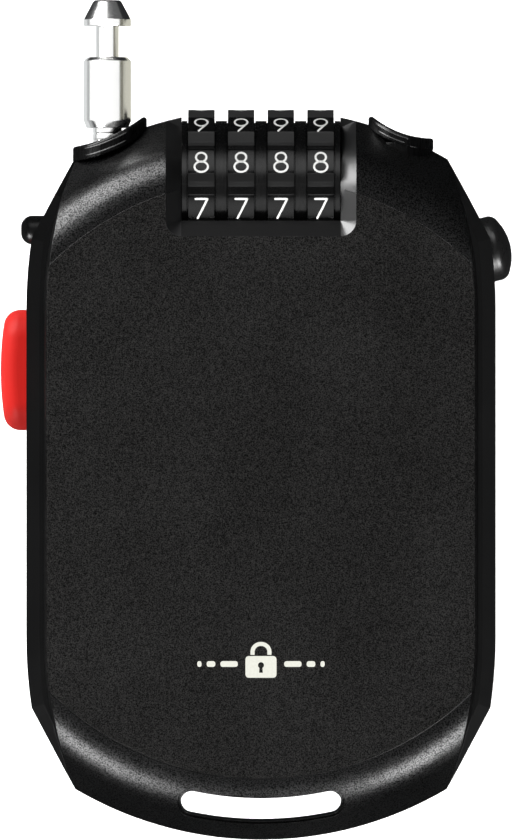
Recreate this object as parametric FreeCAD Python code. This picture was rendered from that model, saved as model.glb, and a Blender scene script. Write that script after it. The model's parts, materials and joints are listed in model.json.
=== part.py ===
import FreeCAD, Part
import math, os

# ---------------------------------------------------------------------------
# Cable luggage lock. Millimetres.
#
# Frame: the lock lies on its rear face. +Z is out of the front face, +Y runs
# towards the dials and the plug, +X is to the right of somebody who looks at
# the front. The origin is on the rear face, on the axis of the cable reel.
# Everything below is laid out about the case's middle plane (height 0) and is
# lifted by half the thickness when it is written.
# ---------------------------------------------------------------------------

# case
THICK = 22.0            # overall thickness of the case
HALF = THICK / 2
R_CASE = 50.67          # outer circle of top and bottom
CASE_Y = 0.19           # its centre
Y_REV = -0.45           # centre of the turned shoulder form
R_FLAT = 41.5           # where the flat face ends and the shoulder starts
R_ROLL = 6.8            # radius of the shoulder's roll-over
ROLL_DEG = 60.0         # how far it rolls before the straight flank
R_RIM = 51.2            # the flank's outer end
Z_RIM = 1.0             # half thickness there
W_FACE = 29.6           # half width of the case at the front edge
W_SHELL = 30.0          # half width of the shells at the rails
W_CAV = 29.1            # half width of the hollow
Y_STRAIGHT = 23.0       # the straight sides end here
R_SIDE = 50.4           # the sides then curve in with this radius
WALL = 1.4
PANEL_T = 1.2           # inlaid cover panels
FLOOR_T = 1.2           # shell under the panel
Z_CAV = HALF - PANEL_T - FLOOR_T

# side rails (outline of the case in front view)
RAIL_X = 32.45
RAIL_Y = 22.7
RAIL_BX, RAIL_BY = 31.73, 32.45
RAIL_AX, RAIL_AY = 25.72, 43.75
SIDE_UP = 0.28          # the sides' outline sits this far up from the origin
RAIL_Z = 7.3            # half depth at the shells
RAIL_Z_OUT = 5.3        # half depth at the outer face

# strap slot
SLOT_RM, SLOT_W, SLOT_DEG = 46.2, 1.6, 11.9

# dials
DIAL_Y = 40.2           # axis
DIAL_R = 10.4
DIAL_FLOOR_R = 9.49     # floor of the notches between the number faces
DIAL_W = 3.65
PITCH = 5.5
DIAL_X = [-1.5 * PITCH, -0.5 * PITCH, 0.5 * PITCH, 1.5 * PITCH]
NOTCH_DEG, NOTCH_FLOOR_DEG = 8.4, 1.8
DIAL_BORE = 4.35
HUB_OUT = 0.1           # how far a dial's hub faces stand out of the ring's sides
CAGE_R = 8.87
CAGE_HALF = 10.95
WIN_X = 11.0            # half width of the window
WIN_Y = 35.15           # lower edge of the window
BEVEL = 2.15            # width of the window's bevel
BEVEL_Z = 9.4           # height of the bevel's inner edge at the lower edge
BAY_X = 12.2
BAY_R = 10.65

# sleeves and spindle
SLEEVE_R = 4.2
SLEEVE_BORE = 2.9
GATE_BORE = 1.62
GATE_W = 1.3
NECK_OUT = 3.6          # neck of the first sleeve, through the bay's wall
SPINDLE_R = 1.5
FIN_W = 1.0
RELEASE_TRAVEL = 1.9
RESET_TRAVEL = 1.5
REWIND_TRAVEL = 1.5

# plug
PLUG_X = -21.3
PLUG_R = 3.3
NECK_R = 1.6
STUB_R = 2.0
CABLE_R = 1.2

# mouths
MOUTH_L_X, MOUTH_L_R = -20.95, 5.12
MOUTH_R_X, MOUTH_R_R = 19.4, 4.5
SOCKET_R = 3.5

# reel
WRAP_R = [16.3, 18.8, 21.3]
WRAP_Z = [5.0, 2.5, 0.0, -2.5]
DRUM_R = 15.0
DRUM_IN = 13.8
FLANGE_R = 24.5
POST_R = 3.0

# brake
PIN_X, PIN_Y, PIN_R = -24.3, 14.0, 1.0

# release knob
KNOB_X, KNOB_Y, KNOB_TILT = 30.42, 30.96, 14.0

V = FreeCAD.Vector
X, Y, Z = V(1, 0, 0), V(0, 1, 0), V(0, 0, 1)
os.makedirs("parts", exist_ok=True)
MADE = {}


def box(x0, x1, y0, y1, z0, z1):
    return Part.makeBox(x1 - x0, y1 - y0, z1 - z0, V(x0, y0, z0))


def cyl_x(r, x0, x1, y, z=0.0):
    return Part.makeCylinder(r, x1 - x0, V(x0, y, z), X)


def cyl_y(r, y0, y1, x, z=0.0):
    return Part.makeCylinder(r, y1 - y0, V(x, y0, z), Y)


def cyl_z(r, z0, z1, x=0.0, y=0.0):
    return Part.makeCylinder(r, z1 - z0, V(x, y, z0), Z)


def fuse(shapes):
    s = shapes[0]
    if len(shapes) > 1:
        s = s.multiFuse(shapes[1:])
    return s.removeSplitter()


def cut(shape, tools):
    for t in tools:
        shape = shape.cut(t)
    return shape


def poly_face(points):
    pts = [V(*p) for p in points]
    return Part.Face(Part.makePolygon(pts + [pts[0]]))


def revolve(points, centre, axis, degrees=360):
    """Turn a closed polygon of points about an axis."""
    return poly_face(points).revolve(centre, axis, degrees)


def turned_x(profile, y, z=0.0):
    """profile: (x, radius) pairs, closed, turned about an axis along X."""
    return revolve([(a, y + r, z) for a, r in profile], V(0, y, z), X)


def turned_y(profile, x, z=0.0):
    """profile: (y, radius) pairs, closed, turned about an axis along Y."""
    return revolve([(x + r, a, z) for a, r in profile], V(x, 0, z), Y)


def turned_z(profile, x=0.0, y=0.0):
    """profile: (z, radius) pairs, closed, turned about an axis along Z."""
    return revolve([(x + r, y, a) for a, r in profile], V(x, y, 0), Z)


def mirror_z(shape):
    return shape.mirror(V(0, 0, 0), Z)


def mirror_x(shape):
    return shape.mirror(V(0, 0, 0), X)


def fillet(shape, radius, pick):
    edges = [e for e in shape.Edges if pick(e)]
    try:
        s = shape.makeFillet(radius, edges)
        if s.isValid() and s.Volume > 0:
            return s
    except Exception:
        pass
    print("fillet left out", radius, len(edges))
    return shape


def chamfer(shape, size, pick):
    edges = [e for e in shape.Edges if pick(e)]
    try:
        s = shape.makeChamfer(size, edges)
        if s.isValid() and s.Volume > 0:
            return s
    except Exception:
        pass
    print("chamfer left out", size, len(edges))
    return shape


def spring(r, wire, length, turns, at, axis):
    """A round-wire compression spring from at, along axis, ends inside length."""
    h = Part.makeHelix((length - 2 * wire) / turns, length - 2 * wire, r)
    prof = Part.Wire([Part.makeCircle(wire, V(r, 0, 0), V(0, 1, 0.1))])
    s = Part.Wire(h.Edges).makePipeShell([prof], True, True)
    s.translate(V(0, 0, wire * 1.02))
    turn = FreeCAD.Rotation(Z, axis)
    s.Placement = FreeCAD.Placement(at, turn).multiply(s.Placement)
    return s


def out(name, shape):
    s = shape.copy()
    s.translate(V(0, 0, HALF))
    solids = s.Solids
    ok = all(k.isValid() and k.Volume > 0 for k in solids)
    if len(solids) == 1:
        s = solids[0]
    else:
        s = Part.makeCompound(solids)
    MADE[name] = s
    b = s.BoundBox
    print(f"{name:18s} solids {len(solids)} valid {ok} vol {s.Volume:9.2f} "
          f"x {b.XMin:7.2f} {b.XMax:7.2f}  y {b.YMin:7.2f} {b.YMax:7.2f}  z {b.ZMin:6.2f} {b.ZMax:6.2f}")
    s.exportStep(f"parts/{name}.step")


# ---------------------------------------------------------------------------
# case body
# ---------------------------------------------------------------------------
def shoulder_z(r):
    """Height of the case's outer surface at a radius from the turning centre."""
    if r <= R_FLAT:
        return HALF
    a = math.radians(ROLL_DEG)
    r1 = R_FLAT + R_ROLL * math.sin(a)
    z1 = HALF - R_ROLL * (1 - math.cos(a))
    if r <= r1:
        return HALF - R_ROLL + math.sqrt(R_ROLL ** 2 - (r - R_FLAT) ** 2)
    return z1 + (r - r1) * (Z_RIM - z1) / (R_RIM - r1)


def turned_body():
    """The top half of the turned form, from the middle plane up."""
    a = math.radians(ROLL_DEG)
    r1 = R_FLAT + R_ROLL * math.sin(a)
    z1 = HALF - R_ROLL * (1 - math.cos(a))
    am = a / 2
    p0, p1, p2 = V(0, Y_REV, 0), V(0, Y_REV, HALF), V(R_FLAT, Y_REV, HALF)
    pm = V(R_FLAT + R_ROLL * math.sin(am), Y_REV, HALF - R_ROLL * (1 - math.cos(am)))
    p3, p4, p5 = V(r1, Y_REV, z1), V(R_RIM, Y_REV, Z_RIM), V(R_RIM, Y_REV, 0)
    w = Part.Wire([
        Part.makeLine(p0, p1), Part.makeLine(p1, p2), Part.Arc(p2, pm, p3).toShape(),
        Part.makeLine(p3, p4), Part.makeLine(p4, p5), Part.makeLine(p5, p0)])
    return Part.Face(w).revolve(V(0, Y_REV, 0), Z, 360)


def barrel_wire(w, z):
    """Sides straight in the middle and curving in above and below."""
    cx = w - R_SIDE
    top = 52.0
    a = math.asin((top - Y_STRAIGHT) / R_SIDE)
    xe = cx + R_SIDE * math.cos(a)
    xm, ym = cx + R_SIDE * math.cos(a / 2), Y_STRAIGHT + R_SIDE * math.sin(a / 2)
    P = lambda x, y: V(x, y, z)
    return Part.Wire([
        Part.makeLine(P(w, -Y_STRAIGHT), P(w, Y_STRAIGHT)),
        Part.Arc(P(w, Y_STRAIGHT), P(xm, ym), P(xe, top)).toShape(),
        Part.makeLine(P(xe, top), P(-xe, top)),
        Part.Arc(P(-xe, top), P(-xm, ym), P(-w, Y_STRAIGHT)).toShape(),
        Part.makeLine(P(-w, Y_STRAIGHT), P(-w, -Y_STRAIGHT)),
        Part.Arc(P(-w, -Y_STRAIGHT), P(-xm, -ym), P(-xe, -top)).toShape(),
        Part.makeLine(P(-xe, -top), P(xe, -top)),
        Part.Arc(P(xe, -top), P(xm, -ym), P(w, -Y_STRAIGHT)).toShape()])


def barrel(w, z0, z1):
    return Part.Face(barrel_wire(w, z0)).extrude(V(0, 0, z1 - z0))


def side_line(ax, ay, bx, by, cx, cy, z, back):
    """Right side of the outline as a closed wire: two flats, two arcs, back at x = back."""
    # arc from B to C, upright at C
    dx, dy = cx - bx, by - cy
    r = (dx * dx + dy * dy) / (2 * dx)
    a = math.asin(dy / r)
    mx, my = cx - r * (1 - math.cos(a / 2)), cy + r * math.sin(a / 2)
    P = lambda x, y: V(x, y + SIDE_UP, z)
    return Part.Wire([
        Part.makeLine(P(back, ay), P(ax, ay)), Part.makeLine(P(ax, ay), P(bx, by)),
        Part.Arc(P(bx, by), P(mx, my), P(cx, cy)).toShape(),
        Part.makeLine(P(cx, cy), P(cx, -cy)),
        Part.Arc(P(cx, -cy), P(mx, -my), P(bx, -by)).toShape(),
        Part.makeLine(P(bx, -by), P(ax, -ay)), Part.makeLine(P(ax, -ay), P(back, -ay)),
        Part.makeLine(P(back, -ay), P(back, ay))])


def silhouette_prism(z0, z1):
    right = Part.Face(side_line(RAIL_AX, RAIL_AY, RAIL_BX, RAIL_BY, RAIL_X, RAIL_Y, z0, 0.0))
    right = right.extrude(V(0, 0, z1 - z0))
    # above and below the corners the outer circle takes over
    ends = [box(0, RAIL_AX, RAIL_AY + SIDE_UP, 53, z0, z1), box(0, RAIL_AX, -53, -RAIL_AY + SIDE_UP, z0, z1)]
    right = fuse([right] + ends)
    return fuse([right, mirror_x(right)])


turned = turned_body()
half = turned.common(cyl_z(R_CASE, -0.0, HALF + 1, 0, CASE_Y))
drafted = Part.makeLoft([barrel_wire(W_SHELL, 7.3), barrel_wire(W_FACE, HALF)], True, True)
side_form = fuse([drafted, barrel(W_SHELL, 0, 7.3)])
half = half.common(side_form).common(silhouette_prism(0, HALF))

# the hollow
inner_turn = turned_z([(-0.01, 0), (Z_CAV, 0), (Z_CAV, 41.7), (7.9, 44.4), (6.4, 46.1), (0.0, 49.8), (-0.01, 49.8)],
                      0, Y_REV)
cavity = inner_turn.common(barrel(W_CAV, -0.01, Z_CAV)).common(cyl_z(R_CASE - WALL, -1, HALF, 0, CASE_Y))

# strap slot
def slot_face(rm, w, deg, z):
    a = math.radians(deg)
    P = lambda r, t: V(r * math.sin(t), -r * math.cos(t), z)
    ro, ri = rm + w, rm - w
    tip = lambda s: V(rm * math.sin(s * a), -rm * math.cos(s * a), z) + V(math.cos(s * a), math.sin(s * a), 0) * (s * w)
    return Part.Face(Part.Wire([
        Part.Arc(P(ro, -a), P(ro, 0), P(ro, a)).toShape(),
        Part.Arc(P(ro, a), tip(1), P(ri, a)).toShape(),
        Part.Arc(P(ri, a), P(ri, 0), P(ri, -a)).toShape(),
        Part.Arc(P(ri, -a), tip(-1), P(ro, -a)).toShape()]))


slot_cut = slot_face(SLOT_RM, SLOT_W, SLOT_DEG, -HALF - 1).extrude(V(0, 0, THICK + 2))
slot_wall = slot_face(SLOT_RM, SLOT_W + 1.2, SLOT_DEG, 0).extrude(V(0, 0, HALF))


def slot_lip():
    """A shallow step around the slot's mouth, which follows the flank."""
    wide = slot_face(SLOT_RM, SLOT_W + 0.4, SLOT_DEG, 0).extrude(V(0, 0, HALF + 2))
    low = half.copy()
    low.translate(V(0, 0, -0.5))
    return wide.cut(low)


# window for the dials
def window_tool():
    """Everything that is open for the dials, seen from above and below."""
    tools = [box(-WIN_X, WIN_X, WIN_Y, 54, -HALF - 1, HALF + 1), cyl_x(BAY_R, -WIN_X, WIN_X, DIAL_Y)]
    top = HALF + 1.0
    k = BEVEL / (HALF - BEVEL_Z)
    wt = k * (top - BEVEL_Z)
    # lower bevel
    tools.append(Part.Face(Part.makePolygon([
        V(-WIN_X, WIN_Y, BEVEL_Z), V(-WIN_X, WIN_Y - wt, top), V(-WIN_X, WIN_Y + 1, top),
        V(-WIN_X, WIN_Y + 1, BEVEL_Z), V(-WIN_X, WIN_Y, BEVEL_Z)])).extrude(V(2 * WIN_X, 0, 0)))
    # conical corners
    for s in (-1, 1):
        quarter = box(WIN_X, WIN_X + 4, WIN_Y - 4, WIN_Y, 0, top + 1)
        quarter = quarter if s > 0 else mirror_x(quarter)
        tools.append(turned_z([(BEVEL_Z, 0), (top, wt), (top, 0)], s * WIN_X, WIN_Y).common(quarter))
    # side bevels follow the shoulder, with a smooth face, and run out at its outer edge
    n = 13
    y_end = 50.6
    ys = [WIN_Y + i * (y_end - WIN_Y) / (n - 1) for i in range(n)]
    sh = lambda x, y: shoulder_z(math.hypot(x, y - Y_REV))
    drop = HALF - BEVEL_Z

    def edge_wire(points, x):
        c = Part.BSplineCurve()
        c.interpolate(points)
        a, b = points[0], points[-1]
        ta, tb = V(x, a.y, top), V(x, b.y, top)
        return Part.Wire([c.toShape(), Part.makeLine(b, tb), Part.makeLine(tb, ta), Part.makeLine(ta, a)])

    xo = WIN_X + 1.5 * BEVEL
    inner = [V(WIN_X, y, sh(WIN_X + BEVEL, y) - drop) for y in ys]
    outer = [V(xo, y, sh(WIN_X + BEVEL, y) + 0.5 * drop) for y in ys]
    side = Part.makeLoft([edge_wire(inner, WIN_X), edge_wire(outer, xo)], True, True)
    side = side.common(box(WIN_X - 1, xo + 1, WIN_Y - 1, 53, 0.9, top + 1))
    for s in (-1, 1):
        tools.append(side if s > 0 else mirror_x(side))
    return tools


WINDOW = window_tool()
WINDOW_BOTH = []
for t in WINDOW[:2]:
    WINDOW_BOTH.append(t)
for t in WINDOW[2:]:
    WINDOW_BOTH += [t]

# bay that the dial cage sits in
bay_wall = box(-BAY_X, BAY_X, 25.6, 52, 0, HALF)
bay_room = box(-WIN_X, WIN_X, 26.8, 36.0, -7.6, 7.6)

SCREWS = [(-21.0, -31.5), (21.0, -31.5), (-16.3, 28.4), (16.3, 28.4)]
BOSS_R = 2.6
SCREW_R = 1.2


# rim of each mouth: a hollow curve in front view, (centre x, centre y, radius)
RIM = {-1: (-28.79, 65.26, 20.0), 1: (23.5, 58.85, 12.2)}


LIP = {-1: 2.0, 1: 1.6}  # depth of each lip below its rim


def mouth_plane(side, drop=0.0):
    """Everything above the rim of a mouth, or above a curve that runs a given drop below it."""
    cx, cy, r = RIM[side]
    xa, xb = (-30.0, -10.0) if side < 0 else (10.0, 30.0)
    return cyl_z(r + drop, -12, 12, cx, cy).common(box(xa, xb, 40, 60, -12, 12))


def mouth_cut(side):
    x, r = (MOUTH_L_X, MOUTH_L_R) if side < 0 else (MOUTH_R_X, MOUTH_R_R)
    low = 41.0 if side < 0 else 42.3
    body = cyl_y(r - 0.27, low - 3, 56, x)
    lip = cyl_y(r, low, 56, x).common(mouth_plane(side, LIP[side]))
    return [body, lip]


def knob_hole():
    return cyl_x(5.1, 20.0, 40.0, KNOB_Y - 0.1)


def stadium_x(y0, y1, zh, x0, x1):
    """A bar along X with a stadium section in Y and Z."""
    return fuse([box(x0, x1, y0 + zh, y1 - zh, -zh, zh), cyl_x(zh, x0, x1, y0 + zh), cyl_x(zh, x0, x1, y1 - zh)])


RED_Y0, RED_Y1, RED_Z = 6.2, 22.9, 4.0
red_hole = stadium_x(RED_Y0 - 0.25, RED_Y1 + 0.25, RED_Z + 0.25, -40, -26)
RESET_Y = 33.95
reset_hole = cyl_x(2.0 + 0.18, -40, -24, RESET_Y)


def shell(front):
    s = half.cut(cavity)
    parts = [s, bay_wall.common(half), slot_wall.common(half)]
    for side, x, r, low in ((-1, MOUTH_L_X, 6.0, 42.4), (1, MOUTH_R_X, 5.4, 42.4)):
        parts.append(cyl_y(r, low, 54, x).common(half))
    for x, y in SCREWS:
        parts.append(cyl_z(BOSS_R, 0, Z_CAV + 0.5, x, y))
    if front:
        # seat of the rewind spring
        parts.append(box(-23.6, -22.8, 12.7, 16.3, 1.7, Z_CAV + 0.3))
        parts.append(cyl_z(4.6, 7.75, Z_CAV + 0.3))
    else:
        # seat of the latch spring
        parts.append(box(19.0, 20.0, 25.6, 30.6, 0.2, Z_CAV + 0.3))
    s = fuse(parts)
    tools = list(WINDOW_BOTH) + [bay_room, slot_cut, slot_lip()]
    for side in (-1, 1):
        tools += mouth_cut(side)
    tools += [knob_hole(), red_hole, reset_hole]
    # spindle and sleeve neck through the bay's end walls
    tools += [cyl_x(NECK_OUT + 0.15, -16.5, -10, DIAL_Y), cyl_x(1.65, 10, 16.0, DIAL_Y)]
    # recess of the cover panel
    rec = cyl_z(R_FLAT + 0.0, HALF - PANEL_T, HALF + 1, 0, Y_REV).common(barrel(W_FACE + 0.5, HALF - PANEL_T, HALF + 1))
    tools.append(rec)
    if front:
        for x, y in SCREWS:
            tools.append(cyl_z(SCREW_R, -0.5, 6.0, x, y))
        tools.append(cyl_z(POST_R, 0, Z_CAV + 0.0))
    else:
        for x, y in SCREWS:
            tools.append(cyl_z(SCREW_R + 0.1, -1, HALF + 1, x, y))
            tools.append(cyl_z(2.35, 8.4, HALF + 1, x, y))
    return cut(s, tools)


front_shell = shell(True)
rear_shell = mirror_z(shell(False))
out("front_shell", front_shell)
out("rear_shell", rear_shell)


# inlaid cover panels
def panel(front):
    p = cyl_z(R_FLAT - 0.04, HALF - PANEL_T, HALF, 0, Y_REV).common(barrel(W_FACE - 0.02, HALF - PANEL_T, HALF))
    tools = list(WINDOW_BOTH)
    if not front:
        for x, y in SCREWS:
            tools.append(cyl_z(2.6, 8, HALF + 1, x, y))
    p = cut(p, tools)
    p = chamfer(p, 0.08, lambda e: e.BoundBox.ZMin > HALF - 0.001 and e.CenterOfMass.y < 33.0 - 0 and
                math.hypot(e.CenterOfMass.x, e.CenterOfMass.y) > 10 and not (abs(e.CenterOfMass.x) < 14 and e.CenterOfMass.y > 30))
    return p


out("front_panel", panel(True))
out("rear_panel", mirror_z(panel(False)))


# ---------------------------------------------------------------------------
# side rails
# ---------------------------------------------------------------------------
def rail():
    """Right rail: a bar with bevelled edges on the shells' side wall."""
    outer = side_line(RAIL_AX, RAIL_AY, RAIL_BX, RAIL_BY, RAIL_X, RAIL_Y, 0, 20.0)
    core = Part.Face(outer).extrude(V(0, 0, RAIL_Z_OUT))
    lo = side_line(RAIL_AX, RAIL_AY, RAIL_BX, RAIL_BY, RAIL_X, RAIL_Y, RAIL_Z_OUT, 20.0)
    hi = side_line(24.87, 43.3, 30.02, 31.9, 30.62, 22.3, RAIL_Z, 20.0)
    bevel = Part.makeLoft([lo, hi], True, True)
    top = fuse([core, bevel])
    low = turned.common(cyl_z(R_CASE - 0.02, 0, HALF + 1, 0, CASE_Y))
    low.translate(V(0, 0, -0.35))
    low = fuse([low, turned.common(cyl_z(R_CASE - 0.02, 0, 0.5, 0, CASE_Y))])
    top = top.common(low)
    r = fuse([top, mirror_z(top)])
    r = r.cut(fuse([side_form, mirror_z(side_form)]))
    r = r.common(box(20, 40, -46, 46, -10, 10))
    return r


right_rail = rail()
left_rail = mirror_x(right_rail)
right_rail = cut(right_rail, [knob_hole()] + mouth_cut(1))
left_rail = cut(left_rail, [red_hole, reset_hole] + mouth_cut(-1))


def biggest(shape):
    return max(shape.Solids, key=lambda s: s.Volume)


out("right_rail", biggest(right_rail))
out("left_rail", biggest(left_rail))


# ---------------------------------------------------------------------------
# dials, cage, sleeves, spindle
# ---------------------------------------------------------------------------
def dial(xc):
    """Number ring: ten faces on a cylinder, with a V groove with a flat floor between them."""
    pts, edges = [], []
    P = lambda r, d: V(0, DIAL_Y + r * math.sin(math.radians(d)), r * math.cos(math.radians(d)))
    for k in range(10):
        a = 36.0 * k
        b = a + 36.0
        edges.append(Part.makeLine(P(DIAL_FLOOR_R, a - NOTCH_FLOOR_DEG), P(DIAL_FLOOR_R, a + NOTCH_FLOOR_DEG)))
        edges.append(Part.makeLine(P(DIAL_FLOOR_R, a + NOTCH_FLOOR_DEG), P(DIAL_R, a + NOTCH_DEG)))
        edges.append(Part.Arc(P(DIAL_R, a + NOTCH_DEG), P(DIAL_R, a + 18), P(DIAL_R, b - NOTCH_DEG)).toShape())
        edges.append(Part.makeLine(P(DIAL_R, b - NOTCH_DEG), P(DIAL_FLOOR_R, b - NOTCH_FLOOR_DEG)))
    ring = Part.Face(Part.Wire(edges)).extrude(V(DIAL_W, 0, 0))
    ring.translate(V(xc - DIAL_W / 2, 0, 0))
    h = DIAL_W / 2
    c = 0.16
    env = turned_x([(xc - h, 0), (xc - h, DIAL_R - c), (xc - h + c, DIAL_R + 0.01), (xc + h - c, DIAL_R + 0.01),
                    (xc + h, DIAL_R - c), (xc + h, 0)], DIAL_Y)
    ring = ring.common(env)
    bore = cyl_x(DIAL_BORE, xc - 3, xc + 3, DIAL_Y)
    # hub faces, proud of the ring's sides, run beside the cage's plates
    ring = fuse([ring, cyl_x(8.6, xc - h - HUB_OUT, xc + h + HUB_OUT, DIAL_Y)])
    free = cyl_x(5.2, xc - 0.35, xc + 1.3, DIAL_Y)
    notch = box(xc - 3, xc + 0.1, DIAL_Y, DIAL_Y + 5.2, -0.8, 0.8)
    return cut(ring, [bore, free, notch])


def sleeve(i):
    xc = DIAL_X[i]
    x0, x1 = xc - 2.7, xc + 2.7
    if i == 3:
        x1 = xc + 1.2
    body = cyl_x(SLEEVE_R, x0, x1, DIAL_Y)
    parts = [body, box(xc - 1.7, xc - 0.5, DIAL_Y + 3.5, DIAL_Y + 5.0, -0.65, 0.65)]
    if i == 0:
        parts.append(cyl_x(NECK_OUT, -14.2, x0 + 0.1, DIAL_Y))
    s = fuse(parts)
    w0, w1 = xc - 0.9, xc - 0.2
    tools = [cyl_x(SLEEVE_BORE, w1, x1 + 1, DIAL_Y), cyl_x(GATE_BORE, -20, w1 + 1, DIAL_Y),
             box(w0 - 0.1, w1 + 0.1, DIAL_Y - SLEEVE_BORE, DIAL_Y, -GATE_W / 2, GATE_W / 2)]
    if i == 0:
        tools += [cyl_x(SLEEVE_BORE, -12.6, w0, DIAL_Y), cyl_x(2.0, -16, x0 + 0.5, DIAL_Y)]
    else:
        tools.append(cyl_x(SLEEVE_BORE, x0 - 1, w0, DIAL_Y))
    return cut(s, tools)


for i in range(4):
    out(f"dial_{i + 1}", dial(DIAL_X[i]))
    out(f"code_sleeve_{i + 1}", sleeve(i))


def cage():
    """Comb of five plates joined by a spine under the dials."""
    spans = []
    edges = [-CAGE_HALF] + [v for x in DIAL_X for v in (x - DIAL_W / 2 - 0.15, x + DIAL_W / 2 + 0.15)] + [CAGE_HALF]
    parts = []
    for a, b in zip(edges[0::2], edges[1::2]):
        parts.append(cyl_x(CAGE_R, a, b, DIAL_Y))
        parts.append(box(a, b, 27.4, DIAL_Y - 5, -6.4, 6.4))
    parts.append(box(-CAGE_HALF, CAGE_HALF, 27.0, 28.5, -6.4, 6.4))
    s = fuse(parts)
    s = s.cut(cyl_x(4.5, -20, 20, DIAL_Y))
    # seat of the detent spring, cut through the plates' feet
    s = s.cut(box(-10.4, 10.4, 28.5, 29.75, -5.2, -1.4))
    return s


out("dial_cage", cage())


def detent():
    """Flat spring on the spine, with one bead under each dial."""
    s = [box(-10.2, 10.2, 28.52, 28.8, -5.0, -1.6)]
    for x in DIAL_X:
        bead = cyl_x(0.9, x - 1.3, x + 1.3, 29.0, -3.3)
        s.append(bead.common(box(-20, 20, 28.6, 31, -6, 0)))
    return fuse(s)


out("detent_spring", detent())


def spindle():
    parts = [cyl_x(SPINDLE_R, -13.0, 14.3, DIAL_Y), cyl_x(0.9, 14.2, 15.3, DIAL_Y)]
    for x in DIAL_X:
        parts.append(box(x + 0.05, x + 0.75, DIAL_Y - 2.65, DIAL_Y - 1.2, -FIN_W / 2, FIN_W / 2))
    s = fuse(parts)
    return s


out("lock_spindle", spindle())


# latch plate: hole for the plug, with its left edge in the plug's neck at rest
def latch_plate():
    hole_x = MOUTH_R_X + RELEASE_TRAVEL
    half_w = [(14.3, 5.2), (23.2, 5.2), (25.0, 3.4), (26.1, 3.4)]
    p = poly_face([(a, 38.0, b) for a, b in half_w] + [(a, 38.0, -b) for a, b in reversed(half_w)]).extrude(V(0, 1.4, 0))
    p = fuse([p, box(14.3, 15.3, 38.0, 41.8, -2.4, 2.4)])
    p = p.cut(cyl_y(3.6, 37, 43, hole_x))
    p = p.cut(cyl_x(0.9, 14, 16, DIAL_Y))
    return p


out("latch_plate", latch_plate())


def release_button():
    """Domed knob, tilted with the case's flank, on a foot inside the case."""
    a = math.radians(KNOB_TILT)
    prof = [(-2.2, 0.0), (-2.2, 4.52), (1.9, 4.52)]
    # rounded edge, then a shallow dome
    r_edge = 1.5
    for k in range(1, 9):
        t = math.radians(k * 68.0 / 8)
        prof.append((1.9 + r_edge * math.sin(t), 4.52 - r_edge * (1 - math.cos(t))))
    pe = prof[-1]
    tip = 4.24
    # dome as an arc from pe to the tip
    dx, dy = tip - pe[0], pe[1]
    R = (dx * dx + dy * dy) / (2 * dx)
    t0 = math.asin(dy / R)
    for k in range(1, 9):
        t = t0 * (1 - k / 8.0)
        prof.append((tip - R + R * math.cos(t), R * math.sin(t)))
    prof[-1] = (tip, 0.0)
    pts = [V(u, v, 0) for u, v in prof]
    # smooth line over the rounded part
    curve = Part.BSplineCurve()
    curve.interpolate([pts[2]] + pts[3:], InitialTangent=V(1, 0, 0), FinalTangent=V(0, -1, 0))
    w = Part.Wire([Part.makeLine(pts[0], pts[1]), Part.makeLine(pts[1], pts[2]), curve.toShape(),
                   Part.makeLine(pts[-1], pts[0])])
    knob = Part.Face(w).revolve(V(0, 0, 0), X, 360)
    knob.rotate(V(0, 0, 0), Z, KNOB_TILT)
    knob.translate(V(KNOB_X, KNOB_Y, 0))
    # foot for the latch spring, and two legs that pass the socket cup to the latch plate
    foot = box(24.7, 29.2, 28.4, 31.2, -2.4, 2.4)
    back = fuse([box(26.0, 27.3, 28.4, 33.4, -4.3, 4.3), box(26.0, 26.8, 33.0, 34.6, -4.3, 4.3)])
    legs = [box(24.7, 26.2, 34.0, 38.0, a, b) for a, b in ((-4.3, -2.6), (2.6, 4.3))]
    tie = [box(26.0, 26.2, 34.0, 35.0, -4.3, 4.3)]
    return fuse([knob, foot, back] + legs + tie)


out("release_button", release_button())
out("latch_spring", spring(1.3, 0.2, 4.65, 3.5, V(20.02, 29.8, 0), X))


# socket cup under the latch plate
def cup():
    s = cyl_y(4.1, 31.55, 37.8, MOUTH_R_X)
    s = fuse([s, box(MOUTH_R_X - 3, MOUTH_R_X + 3, 31.55, 33.2, -Z_CAV, Z_CAV)])
    s = s.cut(turned_y([(32.4, 0), (32.4, 2.0), (34.2, 3.55), (38.5, 3.55), (38.5, 0)], MOUTH_R_X))
    return s


out("socket_cup", cup())


# ---------------------------------------------------------------------------
# mouths
# ---------------------------------------------------------------------------
def mouth(side):
    x, r = (MOUTH_L_X, MOUTH_L_R) if side < 0 else (MOUTH_R_X, MOUTH_R_R)
    low = 42.4
    # below the lip the mouth is flush with the shoulder
    skin = half.copy()
    skin.translate(V(0, 0, -0.04))
    skin = fuse([skin, mirror_z(skin)])
    body = cyl_y(r - 0.27, low, 56, x).common(skin)
    lip = cyl_y(r, low, 56, x).common(mouth_plane(side, LIP[side]))
    b = fuse([body, lip])
    b = b.cut(mouth_plane(side))
    cx, cy, rr = RIM[side]

    def on_rim(e):
        p = e.valueAt((e.FirstParameter + e.LastParameter) / 2)
        return abs(math.hypot(p.x - cx, p.y - cy) - rr) < 0.01 and abs(math.hypot(p.x - x, p.z) - r) < 0.01

    def on_step(e):
        p = e.valueAt((e.FirstParameter + e.LastParameter) / 2)
        return abs(math.hypot(p.x - cx, p.y - cy) - rr - LIP[side]) < 0.01 and abs(math.hypot(p.x - x, p.z) - r) < 0.01
    b = fillet(b, 0.4, on_rim)
    b = chamfer(b, 0.12, on_step)
    if side < 0:
        hole = turned_y([(low - 1, 0), (low - 1, 2.3), (44.9, 2.3), (49.6, 4.15), (56, 4.5), (56, 0)], PLUG_X)
    else:
        hole = turned_y([(low - 1, 0), (low - 1, SOCKET_R), (46.6, SOCKET_R), (50.0, SOCKET_R + 0.55), (56, SOCKET_R + 0.6), (56, 0)], x)
    return b.cut(hole)


out("cable_mouth", mouth(-1))
out("socket_mouth", mouth(1))


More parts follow.
